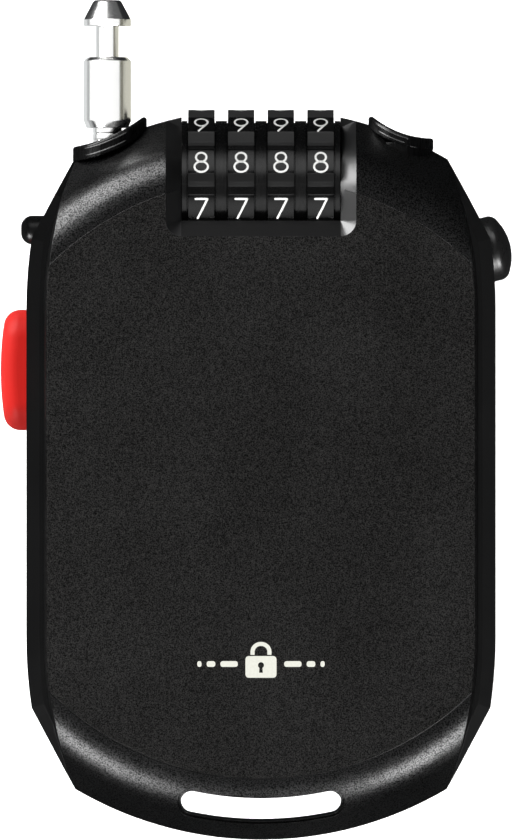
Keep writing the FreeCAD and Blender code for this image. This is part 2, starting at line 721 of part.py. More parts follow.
# ---------------------------------------------------------------------------
# plug on its cable
# ---------------------------------------------------------------------------
def plug():
    prof = [(48.1, 0), (48.1, 2.9), (49.1, PLUG_R), (57.45, PLUG_R), (57.9, PLUG_R - 0.45), (57.9, NECK_R),
            (62.2, NECK_R), (62.2, PLUG_R - 0.1), (62.3, PLUG_R), (63.15, PLUG_R), (63.4, PLUG_R - 0.16),
            (65.6, 1.95), (65.8, 1.7), (65.8, 0)]
    return turned_y(prof, PLUG_X)


out("plug", plug())
out("plug_ferrule", turned_y([(42.6, 0), (42.6, STUB_R - 0.3), (42.9, STUB_R), (48.1, STUB_R), (48.1, 0)], PLUG_X))
LEAD_Y0 = 0.6
out("cable_lead", cyl_y(CABLE_R, LEAD_Y0, 42.6, PLUG_X))


# ---------------------------------------------------------------------------
# reel
# ---------------------------------------------------------------------------
def winding():
    """Wound cable: four wraps in each inner layer, two in the outer one."""
    rings = [Part.makeTorus(R, CABLE_R, V(0, 0, z), Z) for R, zs in
             ((WRAP_R[0], WRAP_Z), (WRAP_R[1], WRAP_Z), (WRAP_R[2], WRAP_Z[:2])) for z in zs]
    fill = [turned_z([(WRAP_Z[-1], WRAP_R[0]), (WRAP_Z[0], WRAP_R[0]), (WRAP_Z[0], WRAP_R[1]), (WRAP_Z[-1], WRAP_R[1])]),
            turned_z([(WRAP_Z[1], WRAP_R[1]), (WRAP_Z[0], WRAP_R[1]), (WRAP_Z[0], WRAP_R[2]), (WRAP_Z[1], WRAP_R[2])])]
    s = fill[0].multiFuse(fill[1:] + rings)
    return s


out("cable_winding", winding())


def drum():
    core = cyl_z(DRUM_R, -5.0, 6.4).cut(cyl_z(DRUM_IN, -4.0, 7))
    web = cyl_z(FLANGE_R, -5.0, -4.0)
    hub = cyl_z(4.4, -6.2, -4.0)
    return cut(fuse([core, web, hub]), [cyl_z(POST_R + 0.05, -9, 9)])


out("reel_drum", drum())
cover = cut(fuse([cyl_z(FLANGE_R, 6.4, 7.3)]), [cyl_z(POST_R + 0.05, -9, 9)])
out("reel_cover", cover)
post = fuse([cyl_z(POST_R, -Z_CAV, 7.75), cyl_z(POST_R, 7.0, Z_CAV)])
post = post.cut(box(-0.35, 0.35, -4, 4, -3.7, 6.1))
out("reel_post", post)


def power_spring():
    """Flat spiral strip: half circles of growing radius."""
    t, p0, p1, turns = 0.35, 4.6, 13.2, 10
    step = (p1 - p0) / (2 * turns)
    inner, outer = [], []
    cx, r, side = 0.0, p0, 1
    # centres alternate so that each half circle joins the next
    for k in range(2 * turns):
        c0 = cx
        a, b = V(c0 + side * r, 0, 0), V(c0 - side * r, 0, 0)
        m = V(c0, side * r, 0)
        inner.append(Part.Arc(a, m, b).toShape())
        a2, b2, m2 = V(c0 + side * (r + t), 0, 0), V(c0 - side * (r + t), 0, 0), V(c0, side * (r + t), 0)
        outer.append(Part.Arc(a2, m2, b2).toShape())
        # next half circle starts at b, with a larger radius
        cx = c0 + side * step
        r = r + step
        side = -side
    w = Part.Wire(Part.__sortEdges__(inner + outer + [
        Part.makeLine(inner[0].Vertexes[0].Point, outer[0].Vertexes[0].Point),
        Part.makeLine(inner[-1].Vertexes[-1].Point, outer[-1].Vertexes[-1].Point)]))
    f = Part.Face(w)
    s = f.extrude(V(0, 0, 9.4))
    s.translate(V(0, 0, -3.5))
    return s


out("power_spring", power_spring())


# ---------------------------------------------------------------------------
# rewind button and brake
# ---------------------------------------------------------------------------
def rewind_button():
    x_tip = -36.05
    b = stadium_x(RED_Y0, RED_Y1, RED_Z, x_tip, -28.6)
    # slightly crowned outer face
    crown = Part.makeCylinder(46.0, 20, V(x_tip + 46.0, (RED_Y0 + RED_Y1) / 2, -10), Z)
    b = b.common(crown)
    b = fillet(b, 2.3, lambda e: e.BoundBox.XMax < -35.0)
    flange = box(-28.6, -27.9, RED_Y0 - 1.0, RED_Y1 + 1.0, -3.55, 5.0)
    nose = fuse([box(-27.95, -26.65, 19.5, 21.5, -6.3, -4.5), cyl_z(1.0, -6.3, -4.5, -26.65, 20.5)])
    web = box(-28.6, -27.9, 19.5, 21.5, -6.3, -3.0)
    return fuse([b, flange, nose, web])


out("rewind_button", rewind_button())
out("rewind_spring", spring(1.4, 0.2, 4.2, 3.2, V(-27.9 + 0.02, 14.5, 3.7), X))


def brake_lever():
    z0, z1 = -6.4, -4.5
    arm_up = poly_face([(-25.3, 13.0, z0), (-23.3, 13.0, z0), (-23.6, 21.6, z0), (-25.3, 21.6, z0)]).extrude(V(0, 0, z1 - z0))
    boss = cyl_z(1.9, z0, z1, PIN_X, PIN_Y)
    arm_dn = poly_face([(-25.6, 14.0, z0), (-23.7, 14.0, z0), (-25.2, 8.6, z0), (-25.2, 5.2, z0), (-26.8, 5.2, z0), (-26.8, 9.2, z0)]).extrude(V(0, 0, z1 - z0))
    s = fuse([arm_up, boss, arm_dn])
    s = s.cut(cyl_z(PIN_R + 0.05, -9, 9, PIN_X, PIN_Y))
    return s


out("brake_lever", brake_lever())
shoe = box(-25.2, -22.5, 5.3, 8.5, -6.2, -3.9).cut(cyl_z(FLANGE_R + 0.22, -9, 9))
out("brake_shoe", shoe)
out("brake_pin", fuse([cyl_z(PIN_R, -Z_CAV + 0.9, -3.0, PIN_X, PIN_Y), cyl_z(1.7, -3.6, -3.0, PIN_X, PIN_Y)]))
coil = fuse([Part.makeTorus(1.45, 0.2, V(PIN_X, PIN_Y, z), Z) for z in (-4.2, -3.87)])
out("brake_spring", coil)

# chassis plate under the reel
ch = box(-27.6, 27.6, -20, 20, -Z_CAV, -Z_CAV + 0.9)
ch = ch.common(cyl_z(31.0, -10, 0))
ch = cut(ch, [cyl_z(POST_R, -10, 0)])
out("chassis_plate", ch)


# ---------------------------------------------------------------------------
# code setting
# ---------------------------------------------------------------------------
def reset_button():
    x_tip = -33.25
    b = cyl_x(2.0, x_tip, -26.9, RESET_Y)
    b = fillet(b, 1.55, lambda e: e.BoundBox.XMax < x_tip + 0.01)
    fl = cyl_x(2.7, -26.95, -26.1, RESET_Y)
    return fuse([b, fl])


out("reset_button", reset_button())


def reset_slider():
    p = box(-26.1, -14.3, RESET_Y - 0.6, RESET_Y + 0.6, -3.4, 3.4)
    lead = fuse([box(-22.95, -21.15, 30, 38, -1.8, 1.8), cyl_y(1.8, 30, 38, -22.95), cyl_y(1.8, 30, 38, -21.15)])
    p = p.cut(lead)
    tab = box(-15.3, -14.3, RESET_Y - 0.6, 42.0, -3.4, 3.4)
    fork = box(-16, -14, 38.6, 45, -1.8, 1.8)
    return fuse([p, tab]).cut(fork)


out("reset_slider", reset_slider())
out("reset_spring", spring(4.1, 0.18, 2.0, 1.6, V(-14.28, DIAL_Y, 0), X))

# ---------------------------------------------------------------------------
# case screws, from the rear
# ---------------------------------------------------------------------------
screws = []
for x, y in SCREWS:
    s = fuse([cyl_z(SCREW_R, -8.5, 5.6, x, y), cyl_z(2.15, -9.9, -8.4, x, y)])
    s = s.cut(box(x - 1.3, x + 1.3, y - 0.25, y + 0.25, -10.2, -9.2))
    s = s.cut(box(x - 0.25, x + 0.25, y - 1.3, y + 1.3, -10.2, -9.2))
    screws.append(s)
out("case_screws", Part.makeCompound(screws))
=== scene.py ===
import bpy, bmesh, json, math
from mathutils import Vector, Matrix


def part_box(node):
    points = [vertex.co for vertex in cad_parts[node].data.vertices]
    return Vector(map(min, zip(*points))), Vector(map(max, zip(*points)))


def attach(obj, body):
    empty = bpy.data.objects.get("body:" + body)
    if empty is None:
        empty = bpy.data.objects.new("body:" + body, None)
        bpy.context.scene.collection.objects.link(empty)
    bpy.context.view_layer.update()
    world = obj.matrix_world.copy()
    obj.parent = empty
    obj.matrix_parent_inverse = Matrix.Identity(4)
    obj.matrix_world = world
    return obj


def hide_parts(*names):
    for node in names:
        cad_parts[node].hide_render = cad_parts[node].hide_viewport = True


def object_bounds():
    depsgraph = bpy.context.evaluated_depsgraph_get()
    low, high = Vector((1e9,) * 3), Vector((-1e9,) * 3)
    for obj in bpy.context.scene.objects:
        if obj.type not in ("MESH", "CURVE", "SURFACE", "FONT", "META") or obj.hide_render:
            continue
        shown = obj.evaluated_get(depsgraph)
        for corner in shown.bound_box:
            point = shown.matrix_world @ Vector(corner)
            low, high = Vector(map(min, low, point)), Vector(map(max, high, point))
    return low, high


# Looks of the cable luggage lock. Lengths in this file are millimetres in the row frame unless a name says otherwise;
# meshes are written in metres. The frame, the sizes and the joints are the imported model's.

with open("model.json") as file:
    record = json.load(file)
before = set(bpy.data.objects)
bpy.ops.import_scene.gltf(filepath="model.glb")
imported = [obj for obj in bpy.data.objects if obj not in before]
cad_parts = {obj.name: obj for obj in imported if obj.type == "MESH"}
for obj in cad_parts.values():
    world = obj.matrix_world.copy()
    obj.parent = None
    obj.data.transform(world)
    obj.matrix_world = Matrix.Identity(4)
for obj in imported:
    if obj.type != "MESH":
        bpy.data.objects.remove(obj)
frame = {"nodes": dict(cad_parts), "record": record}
cad_box = [list(v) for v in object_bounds()]
nodes = frame["nodes"]
MM = 0.001
MID = 11.0                       # height of the case's middle plane


def centre(node):
    lo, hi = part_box(node)
    return (lo + hi) * 500.0      # millimetres


# ---------------------------------------------------------------------------
# materials
# ---------------------------------------------------------------------------
class Mat:
    """A small helper around one node tree."""

    def __init__(self, name):
        self.m = bpy.data.materials.new(name)
        self.m.use_nodes = True
        self.t = self.m.node_tree
        self.t.nodes.clear()
        self.out = self.t.nodes.new("ShaderNodeOutputMaterial")
        self.p = self.t.nodes.new("ShaderNodeBsdfPrincipled")
        self.link(self.p.outputs["BSDF"], self.out.inputs["Surface"])
        self.tc = self.t.nodes.new("ShaderNodeTexCoord")

    def link(self, a, b):
        self.t.links.new(a, b)

    def put(self, socket, value):
        if hasattr(value, "is_linked") or hasattr(value, "links"):
            self.link(value, socket)
        else:
            socket.default_value = value

    def scaled(self, s):
        n = self.t.nodes.new("ShaderNodeMapping")
        n.inputs["Scale"].default_value = s
        self.link(self.tc.outputs["Object"], n.inputs["Vector"])
        return n.outputs["Vector"]

    def noise(self, size_mm, detail=2.0, rough=0.5, stretch=None, distortion=0.0):
        n = self.t.nodes.new("ShaderNodeTexNoise")
        v = self.scaled(stretch) if stretch else self.tc.outputs["Object"]
        self.link(v, n.inputs["Vector"])
        n.inputs["Scale"].default_value = 1000.0 / size_mm
        n.inputs["Detail"].default_value = detail
        n.inputs["Roughness"].default_value = rough
        n.inputs["Distortion"].default_value = distortion
        return n.outputs["Fac"]

    def voronoi(self, size_mm, feature="F1", out="Distance", stretch=None):
        n = self.t.nodes.new("ShaderNodeTexVoronoi")
        n.feature = feature
        v = self.scaled(stretch) if stretch else self.tc.outputs["Object"]
        self.link(v, n.inputs["Vector"])
        n.inputs["Scale"].default_value = 1000.0 / size_mm
        return n.outputs[out]

    def math(self, op, a, b=0.0, clamp=False):
        n = self.t.nodes.new("ShaderNodeMath")
        n.operation = op
        n.use_clamp = clamp
        self.put(n.inputs[0], a)
        self.put(n.inputs[1], b)
        return n.outputs[0]

    def span(self, v, a, b, lo=0.3, hi=0.7):
        n = self.t.nodes.new("ShaderNodeMapRange")
        n.clamp = True
        self.put(n.inputs["Value"], v)
        n.inputs["From Min"].default_value = lo
        n.inputs["From Max"].default_value = hi
        n.inputs["To Min"].default_value = a
        n.inputs["To Max"].default_value = b
        return n.outputs["Result"]

    def mix(self, f, a, b, kind="MIX"):
        n = self.t.nodes.new("ShaderNodeMix")
        n.data_type = "RGBA"
        n.blend_type = kind
        self.put(n.inputs["Factor"], f)
        rgba = [s for s in n.inputs if s.type == "RGBA"]
        for s, v in zip(rgba, (a, b)):
            if isinstance(v, (tuple, list)):
                v = tuple(v) + (1.0,) if len(v) == 3 else tuple(v)
            self.put(s, v)
        return [o for o in n.outputs if o.type == "RGBA"][0]

    def bevel(self, radius_mm, samples=4):
        n = self.t.nodes.new("ShaderNodeBevel")
        n.samples = samples
        n.inputs["Radius"].default_value = radius_mm * MM
        return n.outputs["Normal"]

    def edge(self, rounded, lo=0.02, hi=0.25):
        """1 where the rounded normal leaves the surface's own: along edges."""
        g = self.t.nodes.new("ShaderNodeNewGeometry")
        d = self.t.nodes.new("ShaderNodeVectorMath")
        d.operation = "DOT_PRODUCT"
        self.link(rounded, d.inputs[0])
        self.link(g.outputs["Normal"], d.inputs[1])
        k = self.math("SUBTRACT", 1.0, d.outputs["Value"])
        return self.span(k, 0.0, 1.0, lo, hi)

    def bump(self, height, depth_mm, normal=None, strength=1.0):
        n = self.t.nodes.new("ShaderNodeBump")
        n.inputs["Strength"].default_value = strength
        n.inputs["Distance"].default_value = depth_mm * MM
        self.link(height, n.inputs["Height"])
        if normal is not None:
            self.link(normal, n.inputs["Normal"])
        return n.outputs["Normal"]

    def set(self, **kw):
        names = {"color": "Base Color", "rough": "Roughness", "metal": "Metallic", "spec": "Specular IOR Level",
                 "ior": "IOR", "normal": "Normal", "coat": "Coat Weight", "coat_rough": "Coat Roughness",
                 "sss": "Subsurface Weight", "emit": "Emission Strength", "emit_color": "Emission Color",
                 "coat_normal": "Coat Normal", "sheen": "Sheen Weight", "sheen_rough": "Sheen Roughness"}
        for k, v in kw.items():
            if isinstance(v, (tuple, list)):
                v = tuple(v) + (1.0,) if len(v) == 3 else tuple(v)
            self.put(self.p.inputs[names[k]], v)
        return self.m


def shade(c, k):
    return tuple(min(1.0, v * k) for v in c)


def grained(name, base, rough, grain, depth, mottle=0.12, spec=0.5, speck=0.25, edge_mm=0.12, wear=0.35, fine=0.3,
            blotch=14.0, dr=0.05, light=0.0, polished=False, sparkle=0.0):
    """Spark-eroded moulded plastic: two sizes of grain, faint mottling, worn edges.
    With polished, the bevel round the number window has no grain."""
    a = Mat(name)
    coarse = a.noise(grain, 1.0, 0.5)
    small = a.noise(grain * 0.5, 0.0, 0.5)
    big = a.noise(blotch, 2.0, 0.5)
    grain_h = a.math("ADD", coarse, a.math("MULTIPLY", small, fine))
    tone = a.mix(big, shade(base, 1 - mottle), shade(base, 1 + mottle))
    tone = a.mix(a.span(coarse, 0.0, 1.0, 0.36, 0.60), a.mix(speck, tone, (0, 0, 0)), tone)
    tone = a.mix(a.span(coarse, 0.0, light, 0.54, 0.68), tone, shade(base, 3.2))
    soft = a.bevel(edge_mm)
    rub = a.math("MULTIPLY", a.edge(soft), a.span(a.noise(2.6, 3.0, 0.7), 0.2, 1.0, 0.35, 0.65))
    tone = a.mix(a.math("MULTIPLY", rub, wear), tone, shade((base[0] + 0.03, base[1] + 0.03, base[2] + 0.03), 1.6))
    r = a.span(big, rough - dr, rough + dr)
    r = a.math("SUBTRACT", r, a.math("MULTIPLY", rub, 0.10))
    r = a.math("ADD", r, a.span(coarse, -0.04, 0.04))
    normal = a.bump(grain_h, depth, soft)
    if polished:
        xyz = a.t.nodes.new("ShaderNodeSeparateXYZ")
        a.link(a.tc.outputs["Object"], xyz.inputs[0])
        # distance outside the window's opening, sideways and downwards
        across = a.math("MAXIMUM", a.math("SUBTRACT", a.math("ABSOLUTE", xyz.outputs["X"]), 11.0 * MM), 0.0)
        below = a.math("MAXIMUM", a.math("SUBTRACT", 35.15 * MM, xyz.outputs["Y"]), 0.0)
        away = a.math("SQRT", a.math("ADD", a.math("MULTIPLY", across, across), a.math("MULTIPLY", below, below)))
        inside = a.span(away, 1.0, 0.0, 2.12 * MM, 2.18 * MM)
        tone = a.mix(inside, tone, (0.0042, 0.0042, 0.0043))
        r = a.math("ADD", a.math("MULTIPLY", r, a.math("SUBTRACT", 1.0, inside)), a.math("MULTIPLY", inside, 0.33))
        n = a.t.nodes.new("ShaderNodeMix")
        n.data_type = "VECTOR"
        a.link(inside, n.inputs["Factor"])
        vec = [k for k in n.inputs if k.type == "VECTOR"]
        a.link(normal, vec[0])
        a.link(soft, vec[1])
        normal = [o for o in n.outputs if o.type == "VECTOR"][0]
    glint = a.span(coarse, spec * (1 - sparkle), spec * (1 + sparkle), 0.34, 0.66) if sparkle else spec
    if polished:
        flank = a.math("ADD", 0.28, a.math("MULTIPLY", a.math("GREATER_THAN", across, 0.00001), 0.72))
        glint = a.math("ADD", a.math("MULTIPLY", glint, a.math("SUBTRACT", 1.0, inside)), a.math("MULTIPLY", inside, flank))
    return a.set(color=tone, rough=r, normal=normal, spec=glint)


def glossy(name, base, rough=0.16, peel=0.004, spec=0.5, coat=0.0, edge_mm=0.1, mottle=0.06, scuff=0.25, tint=None):
    """Polished moulded plastic: faint orange peel, fine hairlines and a few scuffs."""
    a = Mat(name)
    big = a.noise(5.0, 2.0, 0.5)
    wave = a.noise(1.6, 1.0, 0.4)
    hair = a.noise(0.35, 2.0, 0.6, stretch=(1.0, 0.12, 1.0))
    tone = a.mix(big, shade(base, 1 - mottle), shade(base, 1 + mottle))
    soft = a.bevel(edge_mm)
    rub = a.math("MULTIPLY", a.edge(soft), a.span(a.noise(1.8, 3.0, 0.7), 0.0, 1.0, 0.4, 0.7))
    tone = a.mix(a.math("MULTIPLY", rub, scuff), tone, tint or shade((base[0] + 0.03, base[1] + 0.03, base[2] + 0.03), 1.4))
    r = a.math("ADD", a.span(hair, rough - 0.04, rough + 0.06), a.math("MULTIPLY", rub, 0.1))
    h = a.math("ADD", wave, a.math("MULTIPLY", hair, 0.05))
    return a.set(color=tone, rough=r, normal=a.bump(h, peel, soft), spec=spec, coat=coat, coat_rough=0.08)


def metal(name, base, rough, stretch, depth=0.002, size=0.12, dr=0.06, stain=0.12, edge_mm=0.06):
    """Drawn, turned or rolled metal: lines along one direction, and faint stains."""
    a = Mat(name)
    line = a.noise(size, 2.0, 0.6, stretch=stretch)
    big = a.noise(4.0, 3.0, 0.6)
    tone = a.mix(a.span(big, 0.0, stain), base, shade(base, 0.6))
    r = a.math("ADD", a.span(line, rough - dr, rough + dr), a.span(big, -0.02, 0.04))
    return a.set(color=tone, rough=r, metal=1.0, normal=a.bump(line, depth, a.bevel(edge_mm)))


def stranded(name):
    """Stranded steel under a clear coat: lay lines wound round the cable."""
    a = Mat(name)
    line = a.noise(0.5, 1.0, 0.4, stretch=(1.0, 0.35, 1.0))
    tone = a.mix(a.span(line, 0.0, 1.0), (0.26, 0.26, 0.27), (0.60, 0.60, 0.61))
    return a.set(color=tone, rough=a.span(line, 0.32, 0.22), metal=0.8, normal=a.bump(line, 0.05), coat=0.6, coat_rough=0.1)


def nylon(name):
    a = Mat(name)
    big = a.noise(6.0, 2.0, 0.5)
    fine = a.noise(0.3, 2.0, 0.6)
    tone = a.mix(big, (0.66, 0.64, 0.58), (0.74, 0.73, 0.68))
    return a.set(color=tone, rough=a.span(fine, 0.40, 0.52), normal=a.bump(fine, 0.006, a.bevel(0.15)), sss=0.05)


def cast(name):
    a = Mat(name)
    g = a.noise(0.5, 4.0, 0.65)
    big = a.noise(3.0, 2.0, 0.5)
    tone = a.mix(big, (0.46, 0.46, 0.45), (0.58, 0.58, 0.56))
    return a.set(color=tone, rough=a.span(g, 0.36, 0.5), metal=0.9, normal=a.bump(g, 0.02, a.bevel(0.1)))


def rubber(name):
    a = Mat(name)
    g = a.noise(0.35, 3.0, 0.6)
    tone = a.mix(a.noise(3.0), (0.020, 0.020, 0.020), (0.034, 0.034, 0.034))
    return a.set(color=tone, rough=a.span(g, 0.75, 0.9), normal=a.bump(g, 0.02, a.bevel(0.1)))


def ink(name, base, rough=0.55):
    """Pad-printed ink: a little uneven in cover."""
    a = Mat(name)
    thin = a.noise(0.35, 3.0, 0.6)
    tone = a.mix(a.span(thin, 0.0, 1.0, 0.25, 0.6), shade(base, 0.90), base)
    return a.set(color=tone, rough=a.span(thin, rough - 0.08, rough + 0.08), normal=a.bump(thin, 0.002), spec=0.35)


M = {}
M["case"] = grained("case_satin", (0.0018, 0.0018, 0.00185), 0.36, 0.20, 0.062, spec=0.46, speck=0.3, wear=0.15,
                    polished=True, sparkle=0.75)
M["panel"] = grained("panel_grain", (0.0036, 0.0033, 0.0030), 0.50, 0.15, 0.042, spec=0.26, speck=0.95, wear=0.10, mottle=0.12,
                     light=1.0, polished=True, sparkle=0.7)
M["rail"] = grained("rail_satin", (0.0078, 0.0078, 0.0079), 0.40, 0.16, 0.004, spec=0.36, speck=0.1, wear=0.12)
M["cage"] = glossy("cage_polish", (0.0040, 0.0040, 0.0041), 0.24, 0.0005, spec=0.45)
M["dial"] = grained("dial_face", (0.0042, 0.0042, 0.0043), 0.24, 0.12, 0.002, spec=0.45, speck=0.12, wear=0.15, edge_mm=0.04)
M["lip"] = glossy("mouth_lip", (0.0022, 0.0022, 0.0023), 0.26, 0.001, spec=0.35, scuff=0.1)
M["knob"] = glossy("knob_gloss", (0.0075, 0.0075, 0.0075), 0.30, 0.003, spec=0.5)
M["red_button"] = glossy("red_gloss", (0.42, 0.0115, 0.0085), 0.45, 0.003, spec=0.12, mottle=0.05, scuff=0.12,
                         tint=(0.50, 0.06, 0.05))
M["chrome"] = metal("chrome_turned", (0.93, 0.93, 0.92), 0.19, (0.05, 1.0, 0.05), depth=0.0002, size=0.10, dr=0.03, stain=0.04,
                    edge_mm=0.02)
M["sheet_steel"] = metal("zinc_sheet", (0.56, 0.56, 0.55), 0.33, (0.06, 1.0, 1.0), stain=0.35)
M["spring_steel"] = metal("spring_wire", (0.46, 0.46, 0.47), 0.26, (1.0, 1.0, 0.1), stain=0.25)
M["screw_steel"] = metal("screw_black", (0.10, 0.10, 0.105), 0.36, (1.0, 1.0, 1.0), depth=0.004, size=0.2, stain=0.4)
M["zinc"] = cast("zinc_cast")
M["nylon"] = nylon("reel_nylon")
M["cable"] = stranded("steel_cable")
M["shoe_rubber"] = rubber("brake_rubber")
# Painted light: a lighter copy of the dial colour for the groove floors and each face's lower wall, where light falls.
GROOVE_PAINTED_LIGHT = grained("dial_groove_painted_light", (0.034, 0.034, 0.034), 0.42, 0.12, 0.003, spec=0.40, speck=0.12, wear=0.1, edge_mm=0.04)
# Painted highlight: the beads' lighter colour stands in for the thin glints along the lips' steps.
LIP_BEAD_PAINTED_HIGHLIGHT = glossy("lip_line_painted_highlight", (0.060, 0.060, 0.060), 0.24, 0.001, spec=0.8, scuff=0.1)
INK = ink("number_ink", (0.80, 0.80, 0.78))
PRINT = ink("mark_ink", (0.37, 0.37, 0.33))

slot_of = {s["node"]: s["material_slot"] for s in frame["record"]["subparts"]}
for name, o in nodes.items():
    for s in o.material_slots:
        s.material = M[slot_of[name]]


# ---------------------------------------------------------------------------
# mesh helpers
# ---------------------------------------------------------------------------
def piece(name, verts, faces, material, body, sharp=38.0, weight=True):
    me = bpy.data.meshes.new(name)
    me.from_pydata([(x * MM, y * MM, z * MM) for x, y, z in verts], [], faces)
    bm = bmesh.new()
    bm.from_mesh(me)
    bmesh.ops.remove_doubles(bm, verts=bm.verts, dist=1e-8)
    bmesh.ops.recalc_face_normals(bm, faces=bm.faces)
    for f in bm.faces:
        f.smooth = True
    lim = math.radians(sharp)
    for e in bm.edges:
        if len(e.link_faces) == 2 and e.calc_face_angle(0.0) > lim:
            e.smooth = False
    bm.to_mesh(me)
    bm.free()
    me.materials.append(material)
    o = bpy.data.objects.new(name, me)
    bpy.context.scene.collection.objects.link(o)
    if weight:
        w = o.modifiers.new("even", "WEIGHTED_NORMAL")
        w.keep_sharp = True
        w.weight = 60
    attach(o, body)
    return o


def rounded(points, n=4):
    """points: (a, b, radius). Each corner with a radius is replaced by a curve of that reach."""
    out = []
    for i, (a, b, r) in enumerate(points):
        if r <= 0:
            out.append((a, b))
            continue
        p0, p2 = points[i - 1], points[(i + 1) % len(points)]
        v0 = Vector((p0[0] - a, p0[1] - b))
        v2 = Vector((p2[0] - a, p2[1] - b))
        k0 = min(r, v0.length * 0.48)
        k2 = min(r, v2.length * 0.48)
        s = Vector((a, b)) + v0.normalized() * k0
        e = Vector((a, b)) + v2.normalized() * k2
        for j in range(n + 1):
            t = j / n
            q = s * (1 - t) ** 2 + Vector((a, b)) * (2 * t * (1 - t)) + e * t * t
            out.append((q.x, q.y))
    return out


def lathe_y(name, profile, x, z, material, body, seg=96, n=4, sharp=38.0):
    """profile: (y, r, corner reach), from axis to axis, turned about a line along Y."""
    pts = rounded(profile, n)
    # the first and last points are on the axis
    verts, faces, rows = [], [], []
    for y, r in pts:
        if r < 1e-6:
            rows.append([len(verts)])
            verts.append((x, y, z))
        else:
            row = []
            for k in range(seg):
                t = 2 * math.pi * k / seg
                row.append(len(verts))
                verts.append((x + r * math.cos(t), y, z + r * math.sin(t)))
            rows.append(row)
    for a, b in zip(rows, rows[1:]):
        for k in range(seg):
            k2 = (k + 1) % seg
            if len(a) == 1 and len(b) == 1:
                break
            if len(a) == 1:
                faces.append((a[0], b[k], b[k2]))
            elif len(b) == 1:
                faces.append((a[k], b[0], a[k2]))
            else:
                faces.append((a[k], b[k], b[k2], a[k2]))
    return piece(name, verts, faces, material, body, sharp)


# ---------------------------------------------------------------------------
# number rings
# ---------------------------------------------------------------------------
DIAL_Y, DIAL_R, FLOOR_R, DIAL_W, BORE = 40.2, 10.4, 9.49, 3.65, 4.35
HUB_R, HUB_OUT = 8.6, 0.149


def ring_section():
    """Outline of a ring seen along its axis: ten faces with a groove between each two."""
    pts = []
    pol = lambda r, d: (r * math.sin(math.radians(d)), r * math.cos(math.radians(d)))
    for k in range(10):
        a = 36.0 * k
        pts.append(pol(FLOOR_R, a - 1.8) + (0.10,))
        pts.append(pol(FLOOR_R, a + 1.8) + (0.10,))
        pts.append(pol(DIAL_R, a + 8.4) + (0.16,))
        for j in range(1, 12):
            pts.append(pol(DIAL_R, a + 8.4 + 19.2 * j / 12) + (0.0,))
        pts.append(pol(DIAL_R, a + 27.6) + (0.16,))
    return rounded(pts, 3)


def ring(i, xc):
    sec = ring_section()
    h = DIAL_W / 2
    rows_x = [(-h, -0.07), (-h + 0.02, -0.022), (-h + 0.06, 0.0), (0.0, 0.0)]
    rows_x += [(-a, b) for a, b in reversed(rows_x[:-1])]
    n = len(sec)
    verts, faces, rows = [], [], []
    for dx, dr in rows_x:
        row = []
        for a, b in sec:
            r = math.hypot(a, b)
            k = (r + dr) / r
            row.append(len(verts))
            verts.append((xc + dx, DIAL_Y + a * k, MID + b * k))
        rows.append(row)
    # hub faces stand a little out of the ring's sides
    hub = [(h, HUB_R), (h + HUB_OUT - 0.03, HUB_R), (h + HUB_OUT, HUB_R - 0.03), (h + HUB_OUT, BORE)]
    for dx, r_hub in hub + [(-d, r) for d, r in reversed(hub)]:
        row = []
        for a, b in sec:
            r = math.hypot(a, b)
            row.append(len(verts))
            verts.append((xc + dx, DIAL_Y + a / r * r_hub, MID + b / r * r_hub))
        rows.append(row)
    order = list(range(len(rows))) + [0]
    painted_light_faces = []                  # floors of the grooves and each face's lower wall: painted light, a lighter colour on the sides that catch light
    for p, q in zip(order, order[1:]):
        for k in range(n):
            k2 = (k + 1) % n
            turn = math.degrees(math.atan2(sec[k][0] + sec[k2][0], sec[k][1] + sec[k2][1])) % 36.0
            if p < len(rows_x) - 1 and (turn < 8.0 or turn > 34.2):
                painted_light_faces.append(len(faces))
            faces.append((rows[p][k], rows[q][k], rows[q][k2], rows[p][k2]))
    o = piece(f"number_ring_{i}", verts, faces, M["dial"], f"number_{i}")
    o.data.materials.append(GROOVE_PAINTED_LIGHT)
    for j in painted_light_faces:
        o.data.polygons[j].material_index = 1
    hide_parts(f"dial_{i}")
    return o


# Numbers, drawn as even round-ended strokes about each figure's centre: (points, closed).
def arc(cx, cy, rx, ry, a0, a1, n=None):
    n = n or max(6, int(abs(a1 - a0) / 9))
    return [(cx + rx * math.cos(math.radians(a0 + (a1 - a0) * k / n)),
             cy + ry * math.sin(math.radians(a0 + (a1 - a0) * k / n))) for k in range(n + 1)]


HF = 1.39                        # half height of a figure, to the middle of its stroke
FIGURES = {
    0: [(arc(0, 0, 0.90, HF, 0, 360, 44)[:-1], True)],
    1: [([(-0.48, 0.92), (0.12, HF)], False), ([(0.12, HF), (0.12, -HF)], False)],
    2: [(arc(0, HF - 0.86, 0.86, 0.86, 168, -32) + [(-0.92, -HF)], False), ([(-0.92, -HF), (0.92, -HF)], False)],
    3: [(arc(0, 0.72, 0.74, 0.67, 150, -90), False), (arc(0, -0.65, 0.88, 0.74, 90, -155), False)],
    4: [([(0.42, HF), (-0.98, -0.58)], False), ([(-0.98, -0.58), (1.0, -0.58)], False), ([(0.42, HF), (0.42, -HF)], False)],
    5: [([(0.80, HF), (-0.52, HF)], False), ([(-0.52, HF), (-0.70, 0.16)], False),
        (arc(-0.03, -0.50, 0.90, 0.89, 132, -150), False)],
    6: [(arc(0, -HF + 0.87, 0.87, 0.87, 0, 360, 40)[:-1], True), ([(-0.76, -0.08), (0.36, HF)], False)],
    7: [([(-0.78, HF), (0.86, HF)], False), ([(0.86, HF), (-0.48, -HF)], False)],
    8: [(arc(0, 0.72, 0.72, 0.67, 0, 360, 36)[:-1], True), (arc(0, -0.65, 0.92, 0.74, 0, 360, 40)[:-1], True)],
    9: [(arc(0, HF - 0.87, 0.87, 0.87, 0, 360, 40)[:-1], True), ([(0.76, 0.08), (-0.36, -HF)], False)],
}


